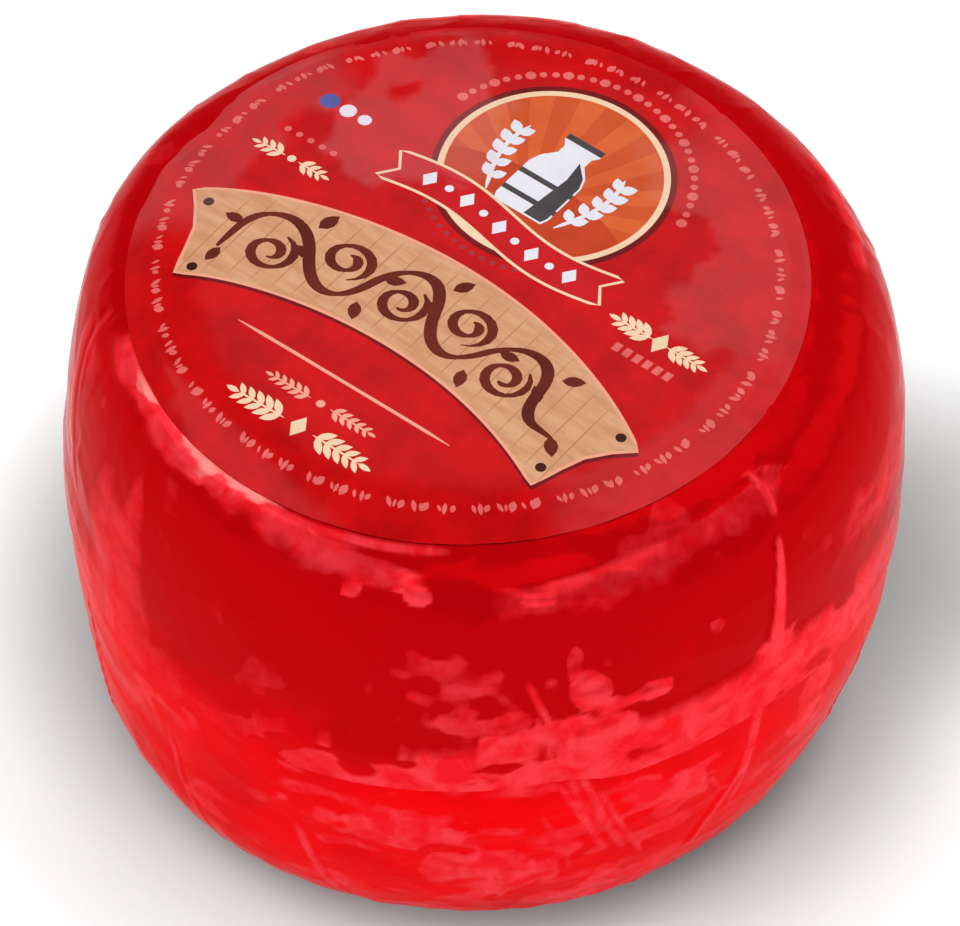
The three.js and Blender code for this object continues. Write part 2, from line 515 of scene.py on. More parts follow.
# Red polyethylene and polyamide film, cast and shrunk on: an even gloss over the red wax. It is deep
# red where it clings, lighter low down as painted floor light, lighter where it stands off the wax in a
# tone that also paints its soft reflections, and pale along the label's edge as a painted highlight.
# Light that comes back from the wax's own gloss has passed the film twice and is red, which the
# small metallic share stands for.
film_red, tree, shader = new_material("red_shrink_film_cast")
shader.inputs["IOR"].default_value = 1.5
shader.inputs["Specular IOR Level"].default_value = 0.01
shader.inputs["Metallic"].default_value = 0.18
shader.inputs["Specular Tint"].default_value = linear("#FF3A3A")
spot = node(tree, "ShaderNodeTexCoord")
standoff_and_sheen = node(tree, "ShaderNodeAttribute", settings={"attribute_name": "standoff_and_sheen"})
breakup = node(tree, "ShaderNodeTexNoise", links={"Vector": spot.outputs["Object"]},
               values={"Scale": 1 / (STANDOFF_SHEEN_RAGS * MM), "Detail": 4.0, "Roughness": 0.6})
cloud = node(tree, "ShaderNodeTexNoise", links={"Vector": spot.outputs["Object"]},
             values={"Scale": 1 / (CLING_CLOUDS * MM), "Detail": 2.0})
ragged = node(tree, "ShaderNodeMath", settings={"operation": "MULTIPLY_ADD"},
              links={0: breakup.outputs["Fac"], 2: standoff_and_sheen.outputs["Fac"]}, values={1: 0.5})
standoff_sheen_share = node(tree, "ShaderNodeMapRange", links={"Value": ragged.outputs[0]},
           values={"From Min": 0.42, "From Max": 1.05})
# Painted floor light: low on the ball the film's red is lighter, as if lit from the floor, and deeper higher
# up.
place = node(tree, "ShaderNodeSeparateXYZ", links={"Vector": spot.outputs["Object"]})
level = node(tree, "ShaderNodeMapRange", settings={"interpolation_type": "SMOOTHSTEP"},
             links={"Value": place.outputs["Z"]},
             values={"From Min": 24 * MM, "From Max": 38 * MM, "To Min": -0.5, "To Max": 0.5})
clouds_and_painted_bounce = node(tree, "ShaderNodeMath", settings={"operation": "MULTIPLY_ADD", "use_clamp": True},
               links={0: cloud.outputs["Fac"], 2: level.outputs["Result"]}, values={1: 1.3})
film_tone_and_painted_bounce = node(tree, "ShaderNodeMix", settings={"data_type": "RGBA"}, links={"Factor": clouds_and_painted_bounce.outputs[0]},
             values={"A": linear("#F8060E"), "B": linear("#C2040A")})
# Where the film stands off it takes a lighter tone, which also paints its soft reflections.
lively = node(tree, "ShaderNodeTexNoise", links={"Vector": spot.outputs["Object"]},
              values={"Scale": 1 / (STANDOFF_SHEEN_STREAKS * MM), "Detail": 3.0, "Distortion": 0.8})
standoff_sheen_tone = node(tree, "ShaderNodeValToRGB", links={"Fac": lively.outputs["Fac"]})
standoff_sheen_tone.color_ramp.elements[0].position = 0.38
standoff_sheen_tone.color_ramp.elements[1].position = 0.64
standoff_sheen_tone.color_ramp.elements[0].color = linear("#F61C26")
standoff_sheen_tone.color_ramp.elements[1].color = linear("#FE3C46")
tint = node(tree, "ShaderNodeMix", settings={"data_type": "RGBA"},
            links={"Factor": standoff_sheen_share.outputs["Result"], "A": film_tone_and_painted_bounce.outputs["Result"], "B": standoff_sheen_tone.outputs["Color"]})
# Pale painted highlight: where the mark goes past 1.45 the colour turns pale pink.
painted_highlight_amount = node(tree, "ShaderNodeMath", settings={"operation": "MULTIPLY_ADD"},
                links={0: breakup.outputs["Fac"], 2: standoff_and_sheen.outputs["Fac"]}, values={1: 0.6})
white = node(tree, "ShaderNodeMapRange", links={"Value": painted_highlight_amount.outputs[0]},
             values={"From Min": 1.45, "From Max": 2.2})
film_colour = node(tree, "ShaderNodeMix", settings={"data_type": "RGBA"},
                   links={"Factor": white.outputs["Result"], "A": tint.outputs["Result"]},
                   values={"B": linear("#FFA89C")})
tree.links.new(film_colour.outputs["Result"], shader.inputs["Base Color"])
polish = node(tree, "ShaderNodeMapRange", links={"Value": breakup.outputs["Fac"]},
              values={"From Min": 0.3, "From Max": 0.7, "To Min": 0.13, "To Max": 0.24})
tree.links.new(polish.outputs["Result"], shader.inputs["Roughness"])
crinkle = node(tree, "ShaderNodeTexNoise", links={"Vector": spot.outputs["Object"]},
               values={"Scale": 1 / (CRINKLES * MM), "Detail": 3.0, "Roughness": 0.5})
relief = node(tree, "ShaderNodeBump", links={"Height": crinkle.outputs["Fac"]},
              values={"Strength": 0.35, "Distance": 0.25 * MM})
tree.links.new(relief.outputs["Normal"], shader.inputs["Normal"])
film_lower.data.materials.append(film_red)
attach(film_lower, "root")
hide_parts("film_lower")

# ---------------------------------------------------------------------------------------------
# The upper film: a cap of the same red shrink film, from the band up over the shoulder and crown.
# It is shrunk on over the lower film, and its rim is stuck down in the band round the middle, with
# one long pleat on the right and a ragged lighter strip along the shoulder, a painted reflection.
# ---------------------------------------------------------------------------------------------

BAND_FOOT = 28.5
BAND_TOP = 32.6
BAND_OUT = 0.36  # how far the rim stands out from the ball's outline
BAND_STEP = 2.2  # length up the wall over which the film steps in above the band
CROWN_STEP = 3.6  # between vertices under the label
SHOULDER_RADIUS = 27.2  # where the label starts to cover the film
LABEL_RADIUS = 30.4
LABEL_SHIFT = (-1.7, -1.05)

bottom = length_at_height(BAND_FOOT)
top = length_at_height(BAND_TOP)
shoulder = length_at_crown_radius(SHOULDER_RADIUS)
crown = float(MERIDIAN_LENGTH[-1])
outer = spun_skin("film_upper", along_outline(bottom, top, 0.33, BAND_OUT)
                  + along_outline(top + BAND_STEP, shoulder, FILM_STEP)
                  + along_outline(shoulder + 1.4, crown, CROWN_STEP), TURNS)
upper = Skin(outer)
degrees = np.degrees(upper.around)
on_band = smooth(-upper.height, -BAND_TOP - 0.9, -BAND_TOP - 0.3)
clear = smooth(upper.length, top + 2, top + 8)  # well above the band
upper.ripples(0.14, 19, 21)
upper.ripples(0.05, 8, 22, stretch=(1, 1, 1.5), share=0.4 + 0.6 * clear)
upper.ridges(0.05, 9, 23, stretch=(1, 1, 1.4), share=clear)
upper.ridges(0.09, 4.5, 24, share=bump(degrees, -84, 20) * smooth(-upper.height, -43, -34))
upper.ridges(0.05, 5.5, 25, stretch=(1, 1, 1.6), share=on_band)
upper.ridges(0.1, 6.0, 26, share=smooth(upper.height, 47.5, 50.5))
# Wisps, and islands on the band, where the film stands off, painted lighter as reflections.
wisps = ripple(upper.places, 7, 27, stretch=(1, 1, 1.6)) + 0.5 * ripple(upper.places, 2.8, 28)
upper.standoff_and_sheen = 0.3 * smooth(wisps, 0.55, 0.8)
in_front = span(degrees, -128, -100, -40, 10)
islands = (ripple(upper.places, 5, 29, stretch=(1, 1, 2.4))
           + 0.5 * ripple(upper.places, 2, 30, stretch=(1, 1, 2)))
tight = 0.35 * smooth(-degrees, 95, 125)  # the band clings more on the left
upper.mark_standoff_and_sheen(on_band * (0.3 + 0.55 * in_front) * smooth(islands - tight, -0.65, -0.3))
# The long pleat on the right, and the creases at its top and foot.
upper.pleat([(-43.8, 48.6), (-44.6, 45.4), (-45.2, 41.7), (-45.8, 36.8), (-46.2, 32.6)], 0.8, 0.24, 1.0, 1.0)
upper.crease([(-43.8, 53.6), (-42.8, 52.0), (-43.2, 49.6)], 0.42, 0.26, 0.8)
upper.crease([(-46.2, 53.6), (-41, 53.1), (-36, 52.0)], 0.22, 0.16, 0.5)
upper.crease([(-42.2, 36.5), (-44.6, 33.6), (-45.8, 31.8)], 0.3, 0.2, 1.0)
upper.crease([(-49.6, 36), (-47.4, 33.4), (-46.4, 31.6)], 0.3, 0.2, 1.0)
upper.crease([(-44.8, 36.2), (-44.4, 34.6), (-42.5, 32.8)], 0.8, 0.12, 0.9)
upper.crease([(-46.6, 36.2), (-48, 34.6), (-50, 32.6)], 0.8, 0.12, 0.9)
# The bundle of creases in front, which goes on under the band.
upper.crease([(-83.5, 43), (-81.5, 39.3), (-80, 36.6), (-78, 31.6), (-77, 29.4)], 0.3, 0.24, 0.9)
upper.crease([(-80.5, 37), (-78.5, 34), (-76, 29.4)], 0.26, 0.2, 1.0)
upper.crease([(-82, 38), (-80.5, 34.5), (-79.3, 31)], 0.22, 0.16, 0.8)
# Patches above the band in front where the film stands off, and where the band itself stands off,
# all painted lighter as reflections.
upper.patch(-74, 40.0, 3.0, 2.6, 0.4, 3, 31, holes=0.1)
upper.patch(-76.5, 43.4, 1.3, 2.0, 0.4, 2, 32, standoff_and_sheen=0.6)
upper.patch(-56, 42.3, 1.2, 1.0, 0.3, 2, 44, standoff_and_sheen=0.5)
upper.patch(-90, 36.8, 8, 1.5, 0.9, 3, 33, standoff_and_sheen=0.6)
upper.patch(-80, 35.0, 9, 2.2, 0.8, 4, 34)
upper.patch(-93, 41.5, 9, 5.0, 1.1, 2.4, 35, standoff_and_sheen=0.5, soft=0.7)
upper.patch(-70, 37.2, 5, 2.0, 0.7, 4, 36)
upper.patch(-71, 34.6, 4, 1.6, 0.3, 4, 37, holes=0.1)
upper.patch(-55, 32.4, 16, 2.0, 0.25, 6, 38, standoff_and_sheen=1.05, holes=0.1)
# The lighter strip along the shoulder, a painted reflection, from the left round to the right, and its
# brightest spots, painted highlights.
upper.smear([(-170, 53.0), (-156, 52.8), (-146, 52.5), (-136, 52.5), (-126, 52.8), (-116, 53.0)],
            0.5, 2.0, 71, 0.2, 0.95)
upper.smear([(-127, 52.4), (-119, 52.0), (-110, 51.6), (-104, 51.4), (-97, 50.8)], 1.3, 2.3, 73, 0.14, 0.75)
upper.patch(-101, 50.8, 1.5, 0.8, 0.3, 2, 41, rise=0.12, standoff_and_sheen=1.15)
upper.patch(-108, 49.8, 1.8, 0.9, 0.4, 2, 42, rise=0.1, standoff_and_sheen=1.0)
upper.smear([(-91, 50.8), (-84, 50.6), (-76, 50.9), (-69, 51.6), (-58, 52.0), (-47, 52.2), (-36, 52.4)],
            0.9, 3.0, 77, 0.12, 0.5)
upper.patch(-98.5, 50.3, 2.2, 0.9, 0.2, 3, 39, rise=0.15)
upper.patch(-81, 50.3, 3.4, 0.7, 0.5, 3, 40, rise=0.16, standoff_and_sheen=0.8)
# Film that stands off on the right wall, at the left and round the back, painted lighter as
# reflections, with single creases there.
upper.patch(-21, 40, 17, 6.5, 0.35, 8, 50, rise=0.06, standoff_and_sheen=0.6, soft=0.9, holes=0.1)
upper.smear([(-176, 51), (-172, 46), (-168, 40), (-164, 35)], 0.9, 1.1, 79, 0.1, 0.5)
upper.smear([(118, 52.4), (104, 52.2), (90, 52.4), (76, 52.0), (62, 52.6)], 0.6, 2.2, 81, 0.12, 0.7)
upper.smear([(32, 52.2), (18, 51.6), (4, 52.2)], 0.6, 2.4, 83, 0.12, 0.6)
left_wall = smooth(-degrees, 133, 149) * smooth(-upper.height, -53, -49)
upper.ridges(0.16, 11, 47, stretch=(1, 1, 0.35), share=left_wall)
facets = (ripple(upper.places, 7, 48, stretch=(1, 1, 0.25))
          + 0.5 * ripple(upper.places, 3, 49, stretch=(1, 1, 0.4)))
upper.mark_standoff_and_sheen(0.55 * left_wall * smooth(facets, 0.05, 0.5))
for at, high, low, lean in ((-173, 53, 44, 6), (16, 51, 40, 5), (49, 50, 36, -5), (80, 52, 41, 7),
                            (112, 50, 38, -6), (140, 52, 42, 6), (163, 50, 37, 5)):
    upper.crease([(at, high), (at + 0.4 * lean, (high + low) / 2), (at + lean, low)], 0.34, 0.16, 0.6)
# A pale painted highlight on the film along the left edge of the label.
from_label = np.hypot(upper.places[:, 0] - LABEL_SHIFT[0], upper.places[:, 1] - LABEL_SHIFT[1])
past = from_label - LABEL_RADIUS  # how far out from the label's edge
fleck = ripple(upper.places, 3.6, 45) + 0.5 * ripple(upper.places, 1.4, 46)
upper.mark_standoff_and_sheen(1.5 * span(degrees, -168, -156, -124, -119) * smooth(past, -0.6, 0)
             * smooth(-past + 0.9 * fleck, -1.1, -0.1))
upper.mark_standoff_and_sheen(1.2 * span(degrees, -126, -121, -99, -92) * bump(past, 0.5, 0.3))
# Under the label the film is smooth and lies a little lower, and on the band it is pulled in.
bare = np.where(upper.height > WIDEST + 15, smooth(past, -1.2, 0.7), 1)
upper.relief = upper.relief * bare - 0.03 * (1 - bare) - 0.1 * on_band
# The band's foot hangs lower on the right in front.
hangs = (1.7 * smooth(degrees, -80, -68) + 1.2 * smooth(degrees, -48, -30)) * smooth(-degrees, -40, 10)
upper.press_on(outer, BALL_RADIUS + 0.58, hangs * smooth(-upper.height, -BAND_TOP, -BAND_FOOT))
inner = spun_skin("film_upper_inside", along_outline(crown, shoulder, 5, -FILM)
                  + along_outline(shoulder - 2, top + BAND_STEP, INSIDE_STEP, -FILM)
                  + along_outline(top, bottom, 1.6, BAND_OUT - FILM - 0.05), INSIDE_TURNS)
waved(inner, 0)
film_upper = closed_film("film_upper", outer, inner)
film_upper.data.materials.append(film_red)
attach(film_upper, "root")
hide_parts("film_upper")

# ---------------------------------------------------------------------------------------------
# The label: a round sticker of printed plastic film on the crown, a little off centre, whose edge
# bends down over the shoulder. Offset printed in red, wood tan, cream and orange, then laminated.
# Its pattern is plain ornament: a scroll on a banner of planks, a churn with rays in a medallion,
# and sprigs, tiny leaves and beads round them.
# ---------------------------------------------------------------------------------------------

LABEL_TURN = math.radians(-36.5)  # reading direction, from +X
LABEL_LIFT = 0.3  # over the film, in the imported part
LABEL_THICK = 0.25
LABEL_SHEET = 0.16  # how thick the sticker is drawn, which lies in that room
LABEL_EDGE_LIFT = 0.22  # its face over the film at the edge, where it is pressed down
# Soft dents, each with its degrees round, distance from the axis, depth and half width.
LABEL_DENTS = ((146, 29.8, 0.35, 4.5), (110, 27.8, 0.4, 5), (44, 26.3, 0.3, 5), (-30, 29.5, 0.15, 4))

inks = []  # (ink name, closed outline), from the bottom up, in the label's own reading frame


def disc(ink, u, v, radius, count=12):
    turns = [2 * math.pi * n / count for n in range(count)]
    inks.append((ink, [(u + radius * math.cos(a), v + radius * math.sin(a)) for a in turns]))


def diamond(ink, u, v, wide, high):
    inks.append((ink, [(u, v - high), (u + wide, v), (u, v + high), (u - wide, v)]))


def bar(ink, left, foot, right, top):
    inks.append((ink, [(left, foot), (right, foot), (right, top), (left, top)]))


def arc(centre, radius, first, last, count):
    """Points on an arc, with angles in degrees counted from the up direction towards the right."""
    steps = [math.radians(first + (last - first) * n / count) for n in range(count + 1)]
    return [(centre[0] + radius * math.sin(a), centre[1] + radius * math.cos(a)) for a in steps]


def stroke(ink, line, width, nib=None):
    """A pen stroke along a line of points, thin at both ends. A nib is the angle of a flat pen."""
    left, right = [], []
    for n, (u, v) in enumerate(line):
        u0, v0 = line[max(n - 1, 0)]
        u1, v1 = line[min(n + 1, len(line) - 1)]
        size = math.hypot(u1 - u0, v1 - v0)
        du, dv = (u1 - u0) / size, (v1 - v0) / size
        half = width / 2
        if nib is not None:
            half *= 0.42 + 0.58 * abs(math.sin(math.atan2(dv, du) - nib))
        share = n / (len(line) - 1)
        half *= min(1, 0.25 + 7 * share, 0.25 + 7 * (1 - share))
        left.append((u - dv * half, v + du * half))
        right.append((u + dv * half, v - du * half))
    for n in range(len(line) - 1):
        inks.append((ink, [left[n], left[n + 1], right[n + 1], right[n]][::-1]))


def leaf(ink, u, v, turn, size, plump=0.3):
    """A pointed leaf from its foot, in a direction in degrees."""
    ahead = (math.cos(math.radians(turn)), math.sin(math.radians(turn)))
    side = (-ahead[1], ahead[0])
    shape = [(0, 0), (0.25, 0.8), (0.5, 1), (0.75, 0.72), (1, 0), (0.75, -0.72), (0.5, -1), (0.25, -0.8)]
    inks.append((ink, [(u + size * (a * ahead[0] + plump * b * side[0]),
                        v + size * (a * ahead[1] + plump * b * side[1])) for a, b in shape][::-1]))


def grown(outline_points, by):
    """A closed outline moved outwards by a distance, from its own middle line."""
    moved = []
    count = len(outline_points)
    for n, (u, v) in enumerate(outline_points):
        u0, v0 = outline_points[n - 1]
        u1, v1 = outline_points[(n + 1) % count]
        size = math.hypot(u1 - u0, v1 - v0)
        moved.append((u + (v1 - v0) / size * by, v - (u1 - u0) / size * by))
    return moved


# The red ground, and a ring of tiny leaves near the edge, in uneven groups.
disc("red", 0, 0, LABEL_RADIUS, 260)
LEAF_RING = 27.7
leaf_at = 0.0
leaf_count = 0
while leaf_at < 2 * math.pi - 0.03:
    leaf_count += 1
    tall = (1.15, 0.8, 1.0, 0.7, 1.1, 0.75, 0.9)[leaf_count % 7]
    lean = (70, 110, 96, 60, 120, 84)[leaf_count % 6]
    foot = LEAF_RING - tall / 2
    leaf("dash_pink", foot * math.cos(leaf_at), foot * math.sin(leaf_at),
         math.degrees(leaf_at) - 90 + lean, tall, 0.2 if leaf_count % 3 else 0.34)
    gap = (0.74, 0.66, 0.82, 0.7, 0.78)[leaf_count % 5] + (0.8 if leaf_count % 9 == 0 else 0)
    leaf_at += gap / LEAF_RING

# The wooden banner: a curved board of upright planks, with notched ends and a nail at each corner.
BOARD_TOP = (-0.1, -46.6)  # the middles and radii of its two long edges
BOARD_TOP_RADIUS = 46.0
BOARD_FOOT = (-0.15, -56.8)
BOARD_FOOT_RADIUS = 45.0
SEAM_END = 0.3  # a seam ends this far from the edge
upper_arc = arc(BOARD_TOP, BOARD_TOP_RADIUS, -32.4, 32.4, 60)
lower_arc = arc(BOARD_FOOT, BOARD_FOOT_RADIUS, 26.1, -26.1, 52)
right_notch = [(23.0, -9.3), (21.5, -11.3), (20.6, -13.6), (20.0, -15.4)]
left_notch = [(-20.3, -15.4), (-20.9, -13.6), (-21.8, -11.3), (-23.3, -9.3)]
board = (upper_arc + right_notch + lower_arc + left_notch)[::-1]
inks.append(("shadow", [(u + 0.22, v - 0.3) for u, v in grown(board, 0.34)]))
inks.append(("rim_peach", grown(board, 0.3)))
inks.append(("board_wood", board))
for u in range(-20, 21, 2):
    seam_top = BOARD_TOP[1] + math.sqrt(BOARD_TOP_RADIUS ** 2 - (u - BOARD_TOP[0]) ** 2) - SEAM_END
    seam_foot = BOARD_FOOT[1] + math.sqrt(BOARD_FOOT_RADIUS ** 2 - (u - BOARD_FOOT[0]) ** 2) + SEAM_END
    stroke("seam", [(u, seam_foot + (seam_top - seam_foot) * k / 6) for k in range(7)], 0.15)
for u, v in ((-22.8, -8.3), (-19.1, -15.2), (19.3, -14.6), (22.7, -7.6)):
    disc("nail", u, v, 0.5, 14)

BOARD_MIDDLE = (-0.1, -52.0)  # the middle and radius of the line that the scroll follows
BOARD_MIDDLE_RADIUS = 45.6


def on_board(along, up):
    """A place on the board's curve: along it from its middle, and up from its middle line."""
    turn = along / BOARD_MIDDLE_RADIUS
    reach = BOARD_MIDDLE_RADIUS + up
    return BOARD_MIDDLE[0] + reach * math.sin(turn), BOARD_MIDDLE[1] + reach * math.cos(turn)


def board_line(points, rounds=3):
    """A smooth pen line through a few given points on the board, rounded off by cutting corners."""
    for _ in range(rounds):
        cut = [points[0]]
        for (a0, b0), (a1, b1) in zip(points, points[1:]):
            cut.append((0.75 * a0 + 0.25 * a1, 0.75 * b0 + 0.25 * b1))
            cut.append((0.25 * a0 + 0.75 * a1, 0.25 * b0 + 0.75 * b1))
        points = cut + [points[-1]]
    return [on_board(a, b) for a, b in points]


# A scroll drawn with a flat pen: a stem that waves along the board, with curls and leaves.
PEN = math.radians(38)
scroll_stem = [(-20, -1.5), (-17.5, 3.6), (-13, 3.4), (-10.5, -3.2), (-6.5, -3.4), (-4, 2.6), (0, 3.4),
               (2.5, -2.8), (6.5, -3.4), (9, 2.6), (13, 3.4), (15.5, -2.4), (19.4, -1.2)]
stroke("brown", board_line(scroll_stem), 1.15, PEN)
for at, flip in ((-15.2, 1), (-8.4, -1), (-1.7, 1), (4.6, -1), (11.1, 1)):
    curl = []
    for n in range(26):
        turn = n / 25 * 1.45 * 2 * math.pi
        reach = 2.5 * (1 - 0.72 * n / 25)
        across, up = reach * math.sin(turn + 0.4), 0.92 * reach * math.cos(turn + 0.4) - 0.9
        curl.append(on_board(at + across, flip * up))
    stroke("brown", curl, 0.95, PEN)
for at, up, turn, size in ((-12.2, 3.2, 60, 2.4), (-11.6, -0.4, 150, 2.0), (-5.2, -2.9, -70, 2.2),
                           (-4.6, 0.6, 20, 2.1), (0.9, 3.1, 60, 2.2), (1.8, -0.2, 150, 2.0),
                           (8.0, -3.0, -60, 2.2), (8.6, 0.7, 20, 2.0), (14.2, 3.0, 50, 2.2),
                           (15.2, 0.0, 160, 2.0), (19.0, -1.2, -25, 2.3), (-19.6, -1.6, -120, 2.0),
                           (-18.4, 1.8, 160, 2.0)):
    u, v = on_board(at, up)
    leaf("brown", u, v, turn - math.degrees(at / BOARD_MIDDLE_RADIUS), size, 0.28)

# A thin rule, and under it two rows of sprigs.
stroke("rule_pink", [(-11.8 + 23.5 * n / 30, -17.7) for n in range(31)], 0.34)


def sprig(ink, u0, v0, u1, v1, size, pairs):
    """A straight thin stem with pairs of slim leaves along it and one leaf at its tip."""
    stroke(ink, [(u0 + (u1 - u0) * n / 6, v0 + (v1 - v0) * n / 6) for n in range(7)], 0.2)
    ahead = math.degrees(math.atan2(v1 - v0, u1 - u0))
    for n in range(pairs):
        share = (n + 0.4) / pairs
        u, v = u0 + (u1 - u0) * share, v0 + (v1 - v0) * share
        leaf(ink, u, v, ahead + 42, size * (1.1 - 0.35 * share), 0.2)
        leaf(ink, u, v, ahead - 42, size * (1.1 - 0.35 * share), 0.2)
    leaf(ink, u1, v1, ahead, size * 0.8, 0.2)


sprig("rule_pink", -1.1, -20.9, -5.2, -20.9, 1.15, 5)
sprig("rule_pink", 1.1, -20.9, 5.2, -20.9, 1.15, 5)
disc("rule_pink", 0, -20.9, 0.42)
sprig("cream", -1.6, -24.0, -6.6, -24.0, 1.75, 5)
sprig("cream", 1.6, -24.0, 6.6, -24.0, 1.75, 5)
diamond("cream", 0, -24.0, 0.8, 1.2)

# The medallion: a churn and two sprigs on a hill, with rays on an orange ground, in a cream ring.
HUB = (-0.6, 13.2)
RING_RADIUS = 10.5
GROUND_RADIUS = 9.9
RAY_DROP = 4.0  # the rays start this far under the hub, behind the churn
BEADS_OVER = 12.6  # radii of the arcs of beads above the medallion and under it
BEADS_UNDER = 11.9
disc("shadow", *HUB, RING_RADIUS + 0.6, 90)
disc("cream", *HUB, RING_RADIUS, 90)
disc("orange", *HUB, GROUND_RADIUS, 90)
for degrees in range(-9, 192, 20):
    ray = [(HUB[0], HUB[1] - RAY_DROP)]
    for turn in (math.radians(degrees - 5), math.radians(degrees), math.radians(degrees + 5)):
        lift = RAY_DROP * math.sin(turn)
        reach = lift + math.sqrt(lift ** 2 - RAY_DROP ** 2 + (GROUND_RADIUS - 0.06) ** 2)
        ray.append((HUB[0] + reach * math.cos(turn), HUB[1] - RAY_DROP + reach * math.sin(turn)))
    inks.append(("ray", ray))
hill = arc((HUB[0], HUB[1] - 21.9), 21.3, -25, 25, 24) + arc(HUB, GROUND_RADIUS - 0.04, 107, 253, 40)
inks.append(("orange_deep", hill[::-1]))
churn = [(2.6, -5.4), (2.9, -4.6), (2.9, 0.2), (2.5, 1.4), (1.5, 2.6), (1.5, 3.6), (2.0, 4.3), (2.0, 5.1)]
churn += [(-u, v) for u, v in churn[::-1]]
churn_shade = [(0.6, -5.2), (2.45, -5.2), (2.72, -4.5), (2.72, 0.2), (2.3, 1.3), (0.9, 2.7), (1.2, 0.4)]
inks.append(("cool_white", [(HUB[0] + u, HUB[1] + v) for u, v in churn]))
inks.append(("grey", [(HUB[0] + u, HUB[1] + v) for u, v in churn_shade]))
for half, foot, top in ((2.0, 4.4, 5.1), (2.9, -1.4, -0.8), (2.9, -3.9, -3.3)):  # its lid and its hoops
    bar("grey", HUB[0] - half, HUB[1] + foot, HUB[0] + half, HUB[1] + top)
for side in (-1, 1):
    stem = [(HUB[0] + side * (3.8 + 1.9 * math.sin(n / 12 * 2.2)), HUB[1] - 5.0 + 8.6 * n / 12)
            for n in range(13)]
    stroke("cool_white", stem, 0.42)
    for n in (2, 4, 6, 8, 10):
        u, v = stem[n]
        leaf("cool_white", u, v, 90 - side * 48, 1.75, 0.32)
        leaf("cool_white", u, v, 90 + side * 40, 1.6, 0.32)
for u, v in arc(HUB, BEADS_UNDER, 232, 128, 20):
    disc("dash_dim", u, v, 0.3, 8)

# A plain red ribbon with notched ends waves across the medallion's foot, and beads arch over it all.
RIBBON_LONG = 24.8
RIBBON_WIDE = 3.7
RIBBON_WAVE = 0.9
RIBBON_DROP = 6.1  # of its upper edge under the hub


def on_ribbon(along, down):
    """A place on the ribbon: along it from its left end, and down from its upper edge."""
    rise = RIBBON_WAVE * math.sin(along / RIBBON_LONG * 2 * math.pi)
    return HUB[0] - RIBBON_LONG / 2 + along, HUB[1] - RIBBON_DROP + rise - down


ribbon = [on_ribbon(RIBBON_LONG * n / 40, 0) for n in range(41)]
ribbon += [(ribbon[-1][0] - 1.3, ribbon[-1][1] - RIBBON_WIDE / 2)]
ribbon += [on_ribbon(RIBBON_LONG * n / 40, RIBBON_WIDE) for n in range(40, -1, -1)]
ribbon += [(ribbon[0][0] + 1.3, ribbon[0][1] - RIBBON_WIDE / 2)]
inks.append(("cream", grown(ribbon[::-1], 0.3)))
inks.append(("ribbon_red", ribbon[::-1]))
for n in range(9):
    u, v = on_ribbon(4.0 + 2.1 * n, RIBBON_WIDE / 2)
    if n % 2:
        disc("cool_white", u, v, 0.42)
    else:
        diamond("cool_white", u, v, 0.75, 1.05)
for n, (u, v) in enumerate(arc(HUB, BEADS_OVER, 78, -78, 30)):
    disc("dash_pink", u, v, 0.36 if n % 3 else 0.52, 8)

# Sprigs with small squares and beads at the right and the upper left, and three dots in a row.
sprig("cream", 18.0, 3.2, 14.6, 3.2, 1.7, 4)
sprig("cream", 19.6, 3.2, 22.8, 3.2, 1.5, 4)
diamond("cream", 18.8, 3.2, 0.8, 1.3)
for n in range(6):
    bar("dash_pink", 15.8 + 1.1 * n, 0.0, 16.5 + 1.1 * n, 1.0)
for n in range(5):
    disc("dash_pink", -22.8 + 1.3 * n, 3.0, 0.34, 10)
sprig("cream", -20.9, 0.2, -23.6, 0.2, 1.4, 3)
sprig("cream", -19.4, 0.2, -16.9, 0.2, 1.3, 3)
disc("cream", -20.15, 0.2, 0.42)
disc("blue", -22.0, 8.0, 0.95, 20)
disc("cool_white", -19.9, 8.0, 0.8, 16)
disc("cool_white", -18.0, 8.0, 0.65, 16)


def turned_to_ball(u, v):
    """From the label's reading frame to the ball's, about the label's centre."""
    return (LABEL_SHIFT[0] + u * math.cos(LABEL_TURN) - v * math.sin(LABEL_TURN),
            LABEL_SHIFT[1] + u * math.sin(LABEL_TURN) + v * math.cos(LABEL_TURN))


def label_height(x, y):
    """Height of the label's face over the floor: the crown, the label's lift, its soft waves and
    dents, and its crimped edge."""
    from_axis = np.minimum(np.hypot(x, y), BALL_RADIUS * 0.97)
    fall = (1 - (from_axis / BALL_RADIUS) ** SIDE_FULLNESS) ** (1 / CROWN_FULLNESS)
    out = np.hypot(x - LABEL_SHIFT[0], y - LABEL_SHIFT[1])
    spread = np.column_stack([x, y, np.zeros_like(x)])
    lie = -0.06 * (1 + ripple(spread, 16, 51)) - 0.025 * (1 + ripple(spread, 6.5, 52)) * smooth(out, 8, 28)
    for degrees, at, deep, wide in LABEL_DENTS:
        turn = math.radians(degrees)
        lie -= deep * bump(x, at * math.cos(turn), wide) * bump(y, at * math.sin(turn), wide)
    edge = smooth(out, LABEL_RADIUS - 2.4, LABEL_RADIUS)
    crimp = 0.13 * ripple(spread, 3.0, 53) + 0.06 * ripple(spread, 1.5, 54)
    lie += crimp * smooth(out, LABEL_RADIUS - 2.0, LABEL_RADIUS - 0.7)
    lift = (LABEL_LIFT + LABEL_THICK) * (1 - edge) + LABEL_EDGE_LIFT * edge
    return WIDEST + CROWN_RISE * fall + lift + lie * (1 - 0.4 * edge)


